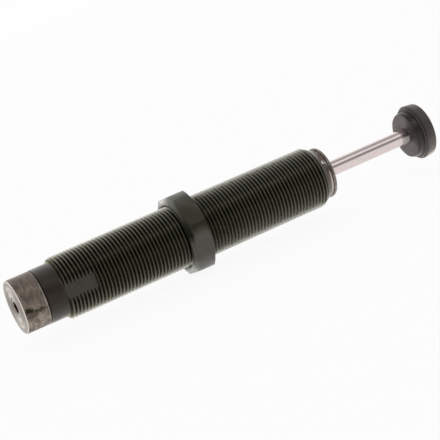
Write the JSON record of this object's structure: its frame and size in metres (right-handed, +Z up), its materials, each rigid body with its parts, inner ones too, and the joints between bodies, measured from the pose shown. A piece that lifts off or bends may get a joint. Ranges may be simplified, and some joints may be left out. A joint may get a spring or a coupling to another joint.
{
  "type": "industrial shock absorber",
  "caption": "Self-contained hydraulic shock absorber: fully threaded cylindrical housing with wrench flats, a hexagonal lock nut, and a chromed rod with a round impact head.",
  "frame": {"origin": "centre of the housing's rear face, on the rod's axis", "axes": "+X along the axis from the rear face to the impact head; +Y and -Y out of the two wrench flats; +Z up"},
  "size_m": [0.1849, 0.0336, 0.033],
  "materials": {
    "blackened_steel": "blackened steel thread with worn, olive-grey crests and bare wrench flats",
    "nut_steel": "blackened steel, satin, olive grey where it catches light",
    "bare_steel": "turned bare steel with a thin brown stain",
    "zinc_steel": "zinc plated or bright turned steel",
    "chrome_rod": "hard chrome plating",
    "spring_steel": "oiled spring wire",
    "bronze": "sintered bronze",
    "brass": "turned brass",
    "gland_black": "blackened steel, darker than the thread",
    "hub_steel": "blackened steel, semi-gloss",
    "cap_black": "blackened steel, semi-gloss",
    "rubber": "black nitrile rubber",
    "seal_rubber": "dark polyurethane",
    "foam": "closed-cell foam rubber",
    "ring_plastic": "bronze-filled PTFE"
  },
  "bodies": {
    "housing": {"outer_body": "blackened_steel", "rear_plug": "bare_steel", "plug_o_ring": "rubber", "pressure_tube": "zinc_steel", "return_spring": "spring_steel", "foam_accumulator": "foam", "front_bearing": "zinc_steel", "guide_bush": "bronze", "bearing_o_ring": "rubber", "rod_seal": "seal_rubber", "seal_washer": "zinc_steel", "front_gland": "gland_black", "wiper": "rubber"},
    "rod": {"piston_rod": "chrome_rod", "piston": "bronze", "piston_ring": "ring_plastic", "piston_nut": "zinc_steel", "spring_seat": "zinc_steel", "check_valve_plate": "zinc_steel", "rod_button": "hub_steel", "impact_cap": "cap_black", "button_screw": "zinc_steel"},
    "adjuster": {"adjuster_spindle": "zinc_steel", "spindle_o_ring": "rubber", "metering_sleeve": "brass"},
    "nut": {"lock_nut": "nut_steel"}
  },
  "joints": [
    {"name": "rod_stroke", "type": "slide", "parent": "housing", "child": "rod", "axis": [1, 0, 0], "range_m": [-0.04, 0], "stiffness_N_per_m": 500, "springref_m": 0.028, "deforming": ["return_spring"]},
    {"name": "nut_travel", "type": "slide", "parent": "housing", "child": "nut", "axis": [1, 0, 0], "range_m": [-0.048, 0.05]},
    {"name": "adjuster_turn", "type": "hinge", "parent": "housing", "child": "adjuster", "pos_m": [0, 0, 0], "axis": [1, 0, 0], "range_deg": [-90, 90]}
  ]
}
